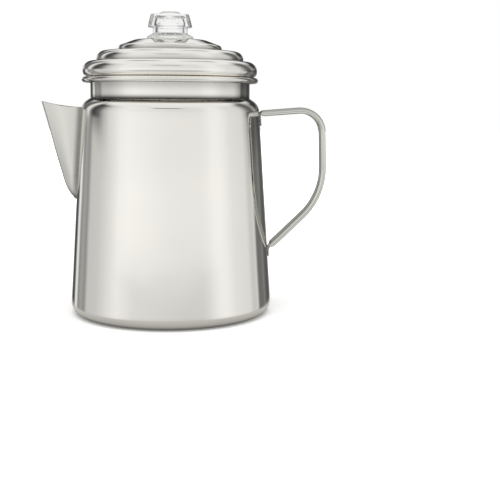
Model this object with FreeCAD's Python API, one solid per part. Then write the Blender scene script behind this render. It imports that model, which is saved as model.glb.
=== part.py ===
import FreeCAD, Part
import math
import os

# Stovetop coffee percolator in sheet stainless steel, for camping.
# Millimetres. +Z is up, and the origin is the centre of the base's resting plane.
# The spout points along -X and the handle along +X.

os.makedirs("parts", exist_ok=True)
V = FreeCAD.Vector
ORIGIN, X_AXIS, Y_AXIS, Z_AXIS = V(0, 0, 0), V(1, 0, 0), V(0, 1, 0), V(0, 0, 1)

# Driving dimensions shared by several pieces
OVERALL_H = 170.0            # resting plane to the top of the knob
T_POT = 0.7                  # sheet of the pot and its base
T_LID = 0.6                  # sheet of the lid and its skirt
WELD_GAP = 0.02              # between welded parts, so the solids never share volume

BASE_R = 58.03               # where the wall's line meets the resting plane
BASE_SEAM_Z = 8.0            # weld between the wall and the base pan
WALL_SEAM_R = 57.5           # outside radius of the wall at the seam
SHOULDER_R = 50.1            # where the wall's line meets the shoulder's
SHOULDER_Z = 118.9
SHOULDER_FILLET = 8.0
NECK_R = 44.8                # outside of the neck
NECK_FOOT_Z = 122.25
NECK_FILLET = 0.4
RIM_TOP_Z = 133.8            # top of the rolled rim

LID_TOP_Z = 154.5
TUBE_R = 4.0                 # pump tube, outside


# ---------------------------------------------------------------------------
# Helpers. A profile is a list of (r, z[, fillet]) points.
# ---------------------------------------------------------------------------
def line(start, end):
    return Part.LineSegment(start, end).toShape()


def arc(start, middle, end):
    return Part.Arc(start, middle, end).toShape()


def polygon(points):
    return Part.makePolygon(points + [points[0]])


def polar(radius, angle, z):
    return V(radius * math.cos(angle), radius * math.sin(angle), z)


def direction(start, end):
    dr, dz = end[0] - start[0], end[1] - start[1]
    length = math.hypot(dr, dz)
    return dr / length, dz / length


def end_node(point, along, offset):
    """Free end of a profile, moved offset to the left of its direction."""
    moved = V(point[0] - along[1] * offset, 0, point[1] + along[0] * offset)
    return moved, None, moved


def corner_node(before, corner, after, offset):
    """Start, middle and end of a corner's arc, moved offset to the left.

    The middle is None where the corner is sharp."""
    fillet = corner[2] if len(corner) > 2 else 0.0
    in_r, in_z = direction(before, corner)
    out_r, out_z = direction(corner, after)
    turn = math.atan2(in_r * out_z - in_z * out_r, in_r * out_r + in_z * out_z)
    sign = 1.0 if turn > 0 else -1.0
    radius = fillet - sign * offset
    if fillet < 1e-6 or radius < 0.02:
        # the two moved lines meet
        back = offset * math.tan(turn / 2.0)
        moved = V(corner[0] - in_z * offset - in_r * back, 0,
                  corner[1] + in_r * offset - in_z * back)
        return moved, None, moved
    tangent = fillet * math.tan(abs(turn) / 2.0)
    centre = V(corner[0] - in_r * tangent - in_z * fillet * sign, 0,
               corner[1] - in_z * tangent + in_r * fillet * sign)
    to_start = V(in_z * sign, 0, -in_r * sign)
    to_end = V(out_z * sign, 0, -out_r * sign)
    to_middle = to_start + to_end
    return (centre + to_start * radius,
            centre + to_middle * (radius / to_middle.Length),
            centre + to_end * radius)


def profile_edges(points, offset=0.0, closed=False):
    """Edges of a filleted profile moved to its left, with its first and last point."""
    last = len(points) - 1
    nodes = []
    for i, point in enumerate(points):
        if not closed and i == 0:
            nodes.append(end_node(point, direction(point, points[1]), offset))
        elif not closed and i == last:
            nodes.append(end_node(point, direction(points[i - 1], point), offset))
        else:
            after = points[(i + 1) % len(points)]
            nodes.append(corner_node(points[i - 1], point, after, offset))
    edges = []
    for i, (start, middle, end) in enumerate(nodes):
        if middle is not None:
            edges.append(arc(start, middle, end))
        if i < last or closed:
            following = nodes[(i + 1) % len(nodes)][0]
            if (end - following).Length > 1e-6:
                edges.append(line(end, following))
    return edges, nodes[0][0], nodes[-1][2]


def joined(edges):
    return Part.Wire(Part.__sortEdges__(edges))


def full_turn(wire):
    solid = Part.Face(wire).revolve(ORIGIN, Z_AXIS, 360.0)
    if solid.Volume < 0:
        solid.reverse()
    return solid


def sheet(points, thickness, side):
    """A turned sheet, thickened to one side (+1 left, -1 right) of its profile."""
    near, near_start, near_end = profile_edges(points)
    far, far_start, far_end = profile_edges(points, side * thickness)
    ends = [line(near_start, far_start), line(near_end, far_end)]
    return full_turn(joined(near + ends + far))


def lathe(points):
    """A turned solid from a closed profile."""
    return full_turn(joined(profile_edges(points, closed=True)[0]))


def part_turn(points, middle_deg, half_deg):
    """A sharp (r, z) outline turned half_deg to either side of middle_deg."""
    face = Part.Face(polygon([V(r, 0, z) for r, z in points]))
    face.rotate(ORIGIN, Z_AXIS, middle_deg - half_deg)
    return face.revolve(ORIGIN, Z_AXIS, 2 * half_deg)


def sector(r_in, r_out, z0, z1, middle_deg, half_deg):
    return part_turn([(r_in, z0), (r_out, z0), (r_out, z1), (r_in, z1)], middle_deg, half_deg)


def ring(r_in, r_out, z0, z1):
    outside = Part.makeCylinder(r_out, z1 - z0, V(0, 0, z0))
    return outside.cut(Part.makeCylinder(r_in, z1 - z0, V(0, 0, z0)))


def ring_angles(count, shift):
    """Even angles round a circle, shifted by a fraction of their pitch."""
    return [2 * math.pi * (k + shift) / count for k in range(count)]


def upright_holes(rings, hole_r, z, depth):
    """Cutters on rings of (radius, count); odd rings are shifted by half a pitch."""
    return [Part.makeCylinder(hole_r, depth, polar(ring_r, angle, z))
            for ring_r, count in rings
            for angle in ring_angles(count, 0.5 * (count % 2))]


def save(name, shape):
    """Clean a piece, make sure it is one valid solid, and write it."""
    solids = shape.removeSplitter().Solids
    if len(solids) != 1:
        raise RuntimeError("%s has %d solids" % (name, len(solids)))
    if not solids[0].isValid():
        raise RuntimeError(name + " is not valid")
    solids[0].exportStep("parts/%s.step" % name)


def wall_r(z):
    """Outside radius of the pot's conical wall."""
    slope = (SHOULDER_R - WALL_SEAM_R) / (SHOULDER_Z - BASE_SEAM_Z)
    return WALL_SEAM_R + slope * (z - BASE_SEAM_Z)


# The filled outside of the pot, to trim what is welded onto it
ENVELOPE_TOP_Z = 131.0
envelope = lathe([
    (0.0, 0.0),
    (BASE_R + WELD_GAP, 0.0),
    (SHOULDER_R + WELD_GAP, SHOULDER_Z + WELD_GAP, SHOULDER_FILLET),
    (NECK_R + WELD_GAP, NECK_FOOT_Z + WELD_GAP, NECK_FILLET),
    (NECK_R + WELD_GAP, ENVELOPE_TOP_Z),
    (0.0, ENVELOPE_TOP_Z),
])

# ---------------------------------------------------------------------------
# Pot body: wall, shoulder, neck and rolled rim in one sheet, with strainer
# holes through the wall behind the spout
# ---------------------------------------------------------------------------
RIM_R = 49.5                 # outside of the rolled rim
RIM_CURL_R = 1.6
RIM_EDGE_R = 46.9            # where the curled-under sheet ends

STRAINER_R = 1.5
STRAINER_TOP_Z = 110.6
STRAINER_PITCH_Z = 4.3
STRAINER_ROWS = 7
STRAINER_MARGIN = 1.6        # least distance from a hole to the spout's side
STRAINER_EVEN_Y = [-7.5, -2.5, 2.5, 7.5]
STRAINER_ODD_Y = [-5.0, 0.0, 5.0]

# Spout stations: height, half width at the wall, x of the front edge
SPOUT_STATIONS = [
    (64.9, 0.8, -54.9), (66.2, 1.5, -55.95), (67.6, 2.3, -57.05), (69.2, 3.2, -58.2),
    (70.9, 4.1, -59.1), (74.3, 5.6, -60.5), (80.0, 7.6, -62.1), (90.0, 9.1, -64.85),
    (100.0, 10.4, -67.35), (110.0, 11.6, -69.85), (121.5, 12.95, -73.0),
]


def spout_half_width(z):
    for (z0, width0, _), (z1, width1, _) in zip(SPOUT_STATIONS, SPOUT_STATIONS[1:]):
        if z <= z1:
            return width0 + (width1 - width0) * (z - z0) / (z1 - z0)


def strainer_holes():
    holes = []
    for row in range(STRAINER_ROWS):
        z = STRAINER_TOP_Z - row * STRAINER_PITCH_Z
        reach = spout_half_width(z) - STRAINER_MARGIN
        for y in (STRAINER_ODD_Y if row % 2 else STRAINER_EVEN_Y):
            if abs(y) + STRAINER_R < reach:
                holes.append(Part.makeCylinder(STRAINER_R, 20.0, V(-60.0, y, z), X_AXIS))
    return Part.makeCompound(holes)


def pot_body():
    # the profile follows the inside of the curl, then the outside of the neck and wall
    curl_top = RIM_TOP_Z - T_POT
    curl_out = RIM_R - T_POT
    curl_low = RIM_TOP_Z - 2 * RIM_CURL_R + T_POT
    curl_fillet = RIM_CURL_R - T_POT
    return sheet([
        (RIM_EDGE_R, curl_low),
        (curl_out, curl_low, curl_fillet),
        (curl_out, curl_top, curl_fillet),
        (NECK_R, curl_top, NECK_FILLET),
        (NECK_R, NECK_FOOT_Z, NECK_FILLET),
        (SHOULDER_R, SHOULDER_Z, SHOULDER_FILLET),
        (WALL_SEAM_R, BASE_SEAM_Z),
    ], T_POT, -1).cut(strainer_holes())


save("pot_body", pot_body())

# ---------------------------------------------------------------------------
# Base pan: rolled corner and a flat base with one pressed stiffening rib
# ---------------------------------------------------------------------------
BASE_CORNER_R = 6.2          # rolled bottom corner, outside
RIB_OUT_R = 41.5
RIB_IN_R = 35.5
RIB_H = 1.2
RIB_FILLET = 1.0


def base_pan():
    top_z = BASE_SEAM_Z - WELD_GAP
    return sheet([
        (wall_r(top_z), top_z),
        (BASE_R, 0.0, BASE_CORNER_R),
        (RIB_OUT_R, 0.0, RIB_FILLET),
        (RIB_OUT_R - RIB_H, RIB_H, RIB_FILLET),
        (RIB_IN_R + RIB_H, RIB_H, RIB_FILLET),
        (RIB_IN_R, 0.0, RIB_FILLET),
        (0.0, 0.0),
    ], T_POT, -1)


save("base_pan", base_pan())

# ---------------------------------------------------------------------------
# Spout: a folded V of sheet, open at the top, welded to the wall
# ---------------------------------------------------------------------------
T_SPOUT = 0.7
SPOUT_NOSE_R = 2.4           # largest radius of the front fold
SPOUT_ROOT_X = -44.0         # sections run on to here, inside the pot
SPOUT_HOLLOW_FROM = 3        # first station of the hollow
FRONT_INSET = 1.15           # inset of the hollow's front, in sheet thicknesses
SIDE_INSET = 1.12            # inset of its sides, likewise
LIP_BACK_X, LIP_BACK_Z = -49.6, 117.0
LIP_TIP_X, LIP_TIP_Z = -71.8, 120.2


def spout_section(station, inset):
    """Level section: two sides from the root, tangent to a round nose."""
    z, station_width, front_x = station
    nose_x = front_x + inset * FRONT_INSET
    half_width = station_width - inset * SIDE_INSET
    nose_r = min(SPOUT_NOSE_R, 0.45 * station_width) - inset
    wall_x = -math.sqrt(wall_r(z) ** 2 - half_width ** 2)
    centre_x = nose_x + nose_r
    reach = wall_x - centre_x
    angle = (math.atan2(half_width, reach)
             - math.asin(nose_r / math.hypot(reach, half_width)))
    side_x = centre_x - nose_r * math.sin(angle)
    side_y = nose_r * math.cos(angle)
    root_y = half_width + (SPOUT_ROOT_X - wall_x) * math.tan(angle)
    root_left, root_right = V(SPOUT_ROOT_X, root_y, z), V(SPOUT_ROOT_X, -root_y, z)
    side_left, side_right = V(side_x, side_y, z), V(side_x, -side_y, z)
    return Part.Wire([
        line(root_left, side_left),
        arc(side_left, V(nose_x, 0, z), side_right),
        line(side_right, root_right),
        line(root_right, root_left),
    ])


def spout_loft(stations, inset):
    return Part.makeLoft([spout_section(row, inset) for row in stations], True, True)


def spout():
    outer = spout_loft(SPOUT_STATIONS, 0.0)
    inner = spout_loft(SPOUT_STATIONS[SPOUT_HOLLOW_FROM:], T_SPOUT)
    # the top edge rises a little to the tip
    top_cut = Part.makeBox(60.0, 60.0, 20.0, V(-100.0, -30.0, 0.0))
    rise = math.degrees(math.atan2(LIP_TIP_Z - LIP_BACK_Z, LIP_BACK_X - LIP_TIP_X))
    top_cut.rotate(V(LIP_BACK_X, 0, 0), Y_AXIS, rise)
    top_cut.translate(V(0, 0, LIP_BACK_Z))
    return outer.cut(inner).cut(envelope).cut(top_cut)


save("spout", spout())

# ---------------------------------------------------------------------------
# Handle: a strap with rolled edges, with a flat foot on the wall at each end
# ---------------------------------------------------------------------------
HANDLE_W = 10.0              # across the strap
HANDLE_EDGE_R = 1.7          # rolled edges of the strap
HANDLE_WEB_T = 1.4
FOOT_T = 0.8
FOOT_SINK = 1.0              # depth inside the wall, trimmed off afterwards
FEET_Z = [(107.0, 114.0), (31.8, 39.0)]
# Centre line of the strap: x, z[, fillet]
HANDLE_PATH = [(48.0, 114.1), (86.3, 117.1, 11.4), (88.05, 67.1, 34.0), (52.5, 32.7)]


def handle_strap():
    edges, start, _ = profile_edges(HANDLE_PATH)
    along = edges[0].tangentAt(edges[0].FirstParameter)
    normal = V(-along.z, 0, along.x)
    half_web = HANDLE_WEB_T / 2.0
    edge_y = HANDLE_W / 2.0 - HANDLE_EDGE_R
    # where the flat web meets the round edge
    web_y = edge_y - math.sqrt(HANDLE_EDGE_R ** 2 - half_web ** 2)

    def at(across, y):
        return start + normal * across + Y_AXIS * y

    section = Part.Wire([
        line(at(half_web, -web_y), at(half_web, web_y)),
        arc(at(half_web, web_y), at(0, HANDLE_W / 2.0), at(-half_web, web_y)),
        line(at(-half_web, web_y), at(-half_web, -web_y)),
        arc(at(-half_web, -web_y), at(0, -HANDLE_W / 2.0), at(half_web, -web_y)),
    ])
    strap = joined(edges).makePipeShell([section], True, False)
    return strap.fuse([handle_foot(z0, z1) for z0, z1 in FEET_Z]).cut(envelope)


def handle_foot(z0, z1):
    half_deg = math.degrees(math.asin(HANDLE_W / 2.0 / wall_r((z0 + z1) / 2)))
    return part_turn([
        (wall_r(z0) - FOOT_SINK, z0), (wall_r(z0) + FOOT_T, z0),
        (wall_r(z1) + FOOT_T, z1), (wall_r(z1) - FOOT_SINK, z1),
    ], 0.0, half_deg)


save("handle_strap", handle_strap())

# ---------------------------------------------------------------------------
# Lid: three stepped tiers, rolled in at the edge to rest on the pot's rim
# ---------------------------------------------------------------------------
LID_R = 48.9                 # widest, on the lowest tier
TIER_TOP_R, TIER_MIDDLE_R = 28.95, 41.15
TIER_FOOT_FILLET = 0.35
LID_HOLE_R = 9.08            # hole for the knob's stem
LID_NOTCH_R = 11.4
LID_NOTCH_HALF_DEG = 19.0
SKIRT_R = 43.8               # outside of the skirt that sits in the neck
SKIRT_FLANGE_R = 45.8
SKIRT_FOOT_Z = 124.0


def lid_shell():
    shell = sheet([
        (LID_HOLE_R, LID_TOP_Z),
        (19.8, LID_TOP_Z, 8.0),
        (TIER_TOP_R, 151.1, 2.0),
        (TIER_TOP_R, 149.2, TIER_FOOT_FILLET),
        (TIER_MIDDLE_R, 147.65, 4.5),
        (TIER_MIDDLE_R, 142.9, TIER_FOOT_FILLET),
        (LID_R, 142.0, 5.2),
        (LID_R, RIM_TOP_Z, 3.0),
        (NECK_R, RIM_TOP_Z),
    ], T_LID, -1)
    # two notches let the knob's lugs through at a quarter turn
    return shell.cut(Part.makeCompound([
        sector(5.0, LID_NOTCH_R, 153.0, 155.5, middle, LID_NOTCH_HALF_DEG)
        for middle in (0.0, 180.0)]))


def lid_skirt():
    """Ring that sits in the neck and keeps the lid centred."""
    flange_z = RIM_TOP_Z + 2 * T_LID
    inside_r = SKIRT_R - T_LID
    return sheet([
        (SKIRT_FLANGE_R, flange_z), (inside_r, flange_z, 0.9), (inside_r, SKIRT_FOOT_Z),
    ], T_LID, 1)


save("lid_shell", lid_shell())
save("lid_skirt", lid_skirt())

# ---------------------------------------------------------------------------
# Knob: clear, hollow, with a flange on its gasket and two bayonet lugs
# ---------------------------------------------------------------------------
GASKET_T = 0.6
KNOB_SEAT_Z = LID_TOP_Z + GASKET_T
KNOB_FOOT_Z = 150.3
KNOB_STEM_R = 9.0
KNOB_BORE_R = 7.2
KNOB_WAIST_R = 9.72
KNOB_HEAD_R = 12.5
KNOB_FLANGE_R = 13.05
KNOB_CEILING_Z = 166.8       # top of the hollow
FLATS_Z = 161.43             # foot of the finger flats
LUG_R = 11.0
LUG_HALF_DEG = 15.0


def octagon(apothem, z):
    corner_r = apothem / math.cos(math.pi / 8)
    return polygon([polar(corner_r, angle, z) for angle in ring_angles(8, 0.5)])


def knob():
    turned = lathe([
        (KNOB_BORE_R, KNOB_FOOT_Z), (KNOB_STEM_R, KNOB_FOOT_Z, 0.3),
        (KNOB_STEM_R, KNOB_SEAT_Z), (KNOB_FLANGE_R, KNOB_SEAT_Z, 0.3),
        (KNOB_FLANGE_R, 156.3, 0.7), (KNOB_WAIST_R, 157.9, 0.6),
        (KNOB_WAIST_R, 161.4, 0.35), (12.3, 161.5, 0.35), (KNOB_HEAD_R, 163.2, 1.2),
        (11.1, 168.4, 0.7), (6.3, 168.75, 1.2), (4.6, 169.95, 1.6), (0.0, OVERALL_H),
        (0.0, KNOB_CEILING_Z), (6.2, KNOB_CEILING_Z, 2.4), (KNOB_BORE_R, 163.0, 2.0),
    ])
    # eight shallow finger flats round the head; the cylinder keeps all below them
    flats = Part.makeLoft([octagon(12.45, FLATS_Z), octagon(9.87, 171.0)], True, True)
    below = Part.makeCylinder(20.0, FLATS_Z - 140.0, V(0, 0, 140.0))
    lugs = [sector(KNOB_STEM_R - 0.6, LUG_R, 151.6, 153.85, middle, LUG_HALF_DEG)
            for middle in (90.0, 270.0)]
    return turned.common(flats.fuse(below)).fuse(lugs)


save("knob", knob())
save("knob_gasket", ring(9.5, 12.6, LID_TOP_Z, KNOB_SEAT_Z))

# ---------------------------------------------------------------------------
# Pump stem: tube, bell foot, float valve, retaining ring, basket stop
# ---------------------------------------------------------------------------
TUBE_BORE_R = 3.5
TUBE_FOOT_Z = 9.5
TUBE_TOP_Z = 150.0
T_BELL = 0.7
BELL_R = 27.0
BELL_SHOULDER_Z = 14.0
BELL_COLLAR_TOP_Z = 20.0
BELL_INLETS = [(9.0, 6)]     # ring radius, count
BELL_INLET_R = 1.6
VALVE_R = 11.8
VALVE_T = 0.6
VALVE_CLEARANCE = 0.6        # radial, on the tube
VALVE_SEAT_Z = 11.0
RETAINER_R = 7.2
RETAINER_T = 0.8
BASKET_Z = 84.0              # underside of the basket
STOP_TOP_Z = BASKET_Z - 0.5  # the basket's sleeve rests here
STOP_R = 7.0
STOP_H = 2.2
STOP_FILLET = 0.5


def pump_bell():
    collar_r = TUBE_R + T_BELL
    flange_z = T_POT + T_BELL
    bell = sheet([
        (collar_r, BELL_COLLAR_TOP_Z),
        (collar_r, BELL_SHOULDER_Z, 0.5),
        (13.2, BELL_SHOULDER_Z, 2.0),
        (23.6, flange_z, 2.0),
        (BELL_R, flange_z),
    ], T_BELL, -1)
    return bell.cut(Part.makeCompound(upright_holes(BELL_INLETS, BELL_INLET_R, 10.5, 6.0)))


def basket_stop_collar():
    foot_z = STOP_TOP_Z - STOP_H
    return lathe([
        (TUBE_R, foot_z), (STOP_R, foot_z, STOP_FILLET),
        (STOP_R, STOP_TOP_Z, STOP_FILLET), (TUBE_R, STOP_TOP_Z),
    ])


save("pump_tube", ring(TUBE_BORE_R, TUBE_R, TUBE_FOOT_Z, TUBE_TOP_Z))
save("pump_bell", pump_bell())
save("valve_disc", ring(TUBE_R + VALVE_CLEARANCE, VALVE_R, VALVE_SEAT_Z, VALVE_SEAT_Z + VALVE_T))
save("valve_retaining_ring", ring(TUBE_R, RETAINER_R, VALVE_SEAT_Z - RETAINER_T, VALVE_SEAT_Z))
save("basket_stop_collar", basket_stop_collar())

# ---------------------------------------------------------------------------
# Basket: perforated cup with a centre sleeve that slides on the tube
# ---------------------------------------------------------------------------
T_BASKET = 0.5
BASKET_R = 38.0
BASKET_TOP_Z = 121.5
BASKET_RIM_R = 40.5
SLIDE_R = TUBE_R + 0.08      # bore of what slides on the tube
SLEEVE_R = SLIDE_R + 0.8
SLEEVE_TOP_Z = 115.5
BASKET_HOLE_R = 0.9
FLOOR_RINGS = [(9.5 + 4.5 * i, 10 + 5 * i) for i in range(6)]
WALL_ROWS_Z = [90.0, 95.0, 100.0]
WALL_ROW_COUNT = 36


def basket():
    lip_z = BASKET_TOP_Z - T_BASKET
    cup = sheet([
        (SLEEVE_R, BASKET_Z),
        (BASKET_R, BASKET_Z, 3.0),
        (BASKET_R + 0.9, lip_z, 0.6),
        (BASKET_RIM_R, lip_z),
    ], T_BASKET, 1)
    holes = upright_holes(FLOOR_RINGS, BASKET_HOLE_R, BASKET_Z - 2.0, 4.0)
    for row, z in enumerate(WALL_ROWS_Z):
        for angle in ring_angles(WALL_ROW_COUNT, 0.5 * (row % 2)):
            start = polar(BASKET_R - 3.0, angle, z)
            holes.append(Part.makeCylinder(BASKET_HOLE_R, 6.0, start, polar(1.0, angle, 0)))
    return cup.cut(Part.makeCompound(holes))


save("basket_sleeve", ring(SLIDE_R, SLEEVE_R, STOP_TOP_Z, SLEEVE_TOP_Z))
save("basket", basket())

# ---------------------------------------------------------------------------
# Spreader: perforated dish that closes the basket and spreads the water
# ---------------------------------------------------------------------------
SPREADER_Z = 117.5           # top of the dish's floor
SPREADER_HOLE_R = 1.0
SPREADER_RINGS = [(11.0 + 5.0 * i, 10 + 5 * i) for i in range(5)]
COLLAR_FOOT_R = 6.6
COLLAR_R = 5.0


def spreader_plate():
    rim_z = BASKET_TOP_Z + T_BASKET
    dish = sheet([
        (40.2, rim_z), (37.4, rim_z, 0.8), (36.9, SPREADER_Z, 1.2), (SLIDE_R, SPREADER_Z),
    ], T_BASKET, 1)
    return dish.cut(Part.makeCompound(
        upright_holes(SPREADER_RINGS, SPREADER_HOLE_R, 115.0, 4.0)))


save("spreader_plate", spreader_plate())
save("spreader_collar", lathe([
    (SLIDE_R, SPREADER_Z), (COLLAR_FOOT_R, SPREADER_Z, 0.3), (COLLAR_FOOT_R, 118.1, 0.3),
    (COLLAR_R, 118.9, 0.8), (COLLAR_R, 126.0, 0.6), (SLIDE_R, 126.4),
]))
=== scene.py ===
"""A steel percolator with a spout, a strap handle, a domed lid and a clear knob.

The pot's axis is Z and it stands on z = 0. The spout points to -X, the handle to +X,
and the camera looks from -Y. Pieces are drawn in millimetres and built in metres.
"""
import bpy
import bmesh
import math
import numpy as np
from mathutils import Matrix, Vector


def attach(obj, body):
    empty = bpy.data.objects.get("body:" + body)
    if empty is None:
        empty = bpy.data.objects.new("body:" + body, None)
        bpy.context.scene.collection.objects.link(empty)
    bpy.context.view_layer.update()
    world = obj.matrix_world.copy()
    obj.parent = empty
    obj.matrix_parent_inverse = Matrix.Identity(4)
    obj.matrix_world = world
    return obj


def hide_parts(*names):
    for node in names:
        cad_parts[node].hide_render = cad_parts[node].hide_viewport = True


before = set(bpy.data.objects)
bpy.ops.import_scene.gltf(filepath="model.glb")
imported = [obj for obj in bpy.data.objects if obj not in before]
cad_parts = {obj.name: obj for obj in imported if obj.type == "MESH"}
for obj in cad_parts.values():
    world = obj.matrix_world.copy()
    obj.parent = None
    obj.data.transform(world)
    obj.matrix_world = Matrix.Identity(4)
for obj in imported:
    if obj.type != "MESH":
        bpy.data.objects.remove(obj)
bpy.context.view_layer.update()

scene = bpy.context.scene

# ---------------------------------------------------------------------------
# Shared sizes, in millimetres
# ---------------------------------------------------------------------------
MM = 0.001                       # metres in a millimetre
POT_SHEET, LID_SHEET = 0.7, 0.6  # sheet thicknesses
RIM_TOP, RIM_R = 133.8, 49.5     # outside of the pot's curled rim
CURL_R = 1.6                     # outer radius of the curl
NECK_R = 44.8                    # upright neck inside the rim
WALL_TOP_R, WALL_TOP_Z = 50.1, 118.9
WALL_LOW_R, WALL_LOW_Z = 57.5, 8.0
WALL_SLOPE = (WALL_TOP_R - WALL_LOW_R) / (WALL_TOP_Z - WALL_LOW_Z)
WALL_FOOT_R = 58.03              # the tapered wall carried down to z = 0
KNOB_SEAT_Z = 155.1              # underside of the knob's flange


def wall_radius(z):
    return WALL_LOW_R + WALL_SLOPE * (z - WALL_LOW_Z)


def smooth01(x):
    x = max(0.0, min(1.0, x))
    return x * x * (3 - 2 * x)


# ---------------------------------------------------------------------------
# Outlines: filleted polylines in the (r, z) plane
# ---------------------------------------------------------------------------
def direction(a, b):
    dx, dz = b[0] - a[0], b[1] - a[1]
    length = math.hypot(dx, dz)
    return dx / length, dz / length


def corner_points(before, corner, after, offset, arc_step):
    """The arc, or the single mitred point, that a corner becomes."""
    x, z = corner[:2]
    fillet = corner[2] if len(corner) > 2 else 0.0
    in_x, in_z = direction(before, corner)
    out_x, out_z = direction(corner, after)
    turn = math.atan2(in_x * out_z - in_z * out_x, in_x * out_x + in_z * out_z)
    side = 1.0 if turn > 0 else -1.0
    radius = fillet - side * offset
    if fillet < 1e-6 or radius < 0.02:
        slide = offset * math.tan(turn / 2.0)
        return [(x - in_z * offset - in_x * slide, z + in_x * offset - in_z * slide)]
    cut_back = fillet * math.tan(abs(turn) / 2.0)
    centre_x = x - in_x * cut_back - in_z * fillet * side
    centre_z = z - in_z * cut_back + in_x * fillet * side
    start = math.atan2(-in_x * side, in_z * side)
    steps = max(3, math.ceil(abs(turn) / arc_step))
    return [(centre_x + radius * math.cos(start + turn * j / steps),
             centre_z + radius * math.sin(start + turn * j / steps)) for j in range(steps + 1)]


def line_points(points, offset=0.0, closed=False, step=3.5, arc_step=math.radians(7.5)):
    """Points along a polyline of (r, z[, fillet]), moved by offset to its left."""
    count = len(points)
    corners = []
    for i, point in enumerate(points):
        if not closed and i in (0, count - 1):
            dx, dz = direction(point, points[1]) if i == 0 else direction(points[-2], point)
            corners.append([(point[0] - dz * offset, point[1] + dx * offset)])
        else:
            corners.append(corner_points(points[i - 1], point, points[(i + 1) % count],
                                         offset, arc_step))
    line = []
    for i, corner in enumerate(corners):
        line.extend(corner)
        if i < count - 1 or closed:
            a, b = corner[-1], corners[(i + 1) % count][0]
            extra = int(math.hypot(b[0] - a[0], b[1] - a[1]) // step)
            for j in range(1, extra + 1):
                f = j / (extra + 1)
                line.append((a[0] + (b[0] - a[0]) * f, a[1] + (b[1] - a[1]) * f))
    return line


def sheet_outline(points, thickness, **spacing):
    """Closed outline of a sheet that lies to the right of a polyline."""
    return line_points(points, **spacing) + line_points(points, -thickness, **spacing)[::-1]


# ---------------------------------------------------------------------------
# Meshes
# ---------------------------------------------------------------------------
def shade_smooth(mesh, sharp_degrees=38.0):
    for face in mesh.polygons:
        face.use_smooth = True
    mesh.set_sharp_from_angle(angle=math.radians(sharp_degrees))


def new_object(name, verts, faces, sharp_degrees=38.0):
    """A smooth object with welded vertices and outward normals; verts are in metres."""
    mesh = bpy.data.meshes.new(name)
    mesh.from_pydata(verts, [], faces)
    mesh.validate()
    bm = bmesh.new()
    bm.from_mesh(mesh)
    bmesh.ops.remove_doubles(bm, verts=bm.verts, dist=1e-7)
    bmesh.ops.recalc_face_normals(bm, faces=bm.faces)
    if bm.calc_volume(signed=True) < 0:
        bmesh.ops.reverse_faces(bm, faces=bm.faces)
    bm.to_mesh(mesh)
    bm.free()
    shade_smooth(mesh, sharp_degrees)
    piece = bpy.data.objects.new(name, mesh)
    scene.collection.objects.link(piece)
    return piece


def lathe(name, outline, segments=256, shape=None):
    """Turned closed solid. shape(r, z, angle) may change the radius round the axis."""
    rings, verts, faces = [], [], []
    for r, z in outline:
        first = len(verts)
        if r < 1e-5:
            verts.append((0.0, 0.0, z * MM))
        else:
            for k in range(segments):
                angle = 2 * math.pi * k / segments
                radius = shape(r, z, angle) if shape else r
                verts.append((radius * math.cos(angle) * MM, radius * math.sin(angle) * MM,
                              z * MM))
        rings.append(range(first, len(verts)))
    for i, a in enumerate(rings):
        b = rings[(i + 1) % len(rings)]
        if len(a) == 1 and len(b) == 1:
            continue
        for k in range(segments):
            k2 = (k + 1) % segments
            if len(a) == 1:
                faces.append((a[0], b[k2], b[k]))
            elif len(b) == 1:
                faces.append((a[k], a[k2], b[0]))
            else:
                faces.append((a[k], a[k2], b[k2], b[k]))
    return new_object(name, verts, faces)


def sector_blocks(name, first_angle, half_angle, steps, radii, heights):
    """Two opposite blocks, each a sector of a ring round the axis."""
    verts, faces = [], []
    for middle in (first_angle, first_angle + math.pi):
        start = len(verts)
        for z in heights:
            for r in radii:
                for k in range(steps + 1):
                    angle = middle - half_angle + 2 * half_angle * k / steps
                    verts.append((r * math.cos(angle) * MM, r * math.sin(angle) * MM, z * MM))

        def vertex(high, outer, k):
            return start + (high * 2 + outer) * (steps + 1) + k

        for k in range(steps):
            for (h1, o1), (h2, o2) in (((0, 0), (0, 1)), ((1, 1), (1, 0))):
                # floor, then top
                if h1 == 0:
                    faces.append((vertex(h1, o1, k), vertex(h1, o1, k + 1),
                                  vertex(h2, o2, k + 1), vertex(h2, o2, k)))
                else:
                    faces.append((vertex(h2, o2, k), vertex(h1, o1, k),
                                  vertex(h1, o1, k + 1), vertex(h2, o2, k + 1)))
            faces.append((vertex(0, 0, k), vertex(1, 0, k),
                          vertex(1, 0, k + 1), vertex(0, 0, k + 1)))
            faces.append((vertex(0, 1, k), vertex(0, 1, k + 1),
                          vertex(1, 1, k + 1), vertex(1, 1, k)))
        for k in (0, steps):
            end = (vertex(0, 0, k), vertex(0, 1, k), vertex(1, 1, k), vertex(1, 0, k))
            faces.append(end if k == 0 else end[::-1])
    return new_object(name, verts, faces)


def tidy(mesh):
    """Splits the many-sided faces a boolean leaves and drops slivers of no area."""
    bm = bmesh.new()
    bm.from_mesh(mesh)
    bmesh.ops.triangulate(bm, faces=[f for f in bm.faces if len(f.verts) > 4],
                          quad_method="BEAUTY", ngon_method="BEAUTY")
    bmesh.ops.dissolve_degenerate(bm, dist=2e-7, edges=bm.edges)
    bm.to_mesh(mesh)
    bm.free()


def apply_boolean(piece, tool, operation):
    """Cuts tool out of piece, or joins it on, and removes tool."""
    modifier = piece.modifiers.new("boolean", "BOOLEAN")
    modifier.operation = operation
    modifier.solver = "EXACT"
    modifier.object = tool
    depsgraph = bpy.context.evaluated_depsgraph_get()
    mesh = bpy.data.meshes.new_from_object(piece.evaluated_get(depsgraph))
    piece.modifiers.clear()
    tidy(mesh)
    piece.data = mesh
    shade_smooth(mesh)
    bpy.data.objects.remove(tool, do_unlink=True)


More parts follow.
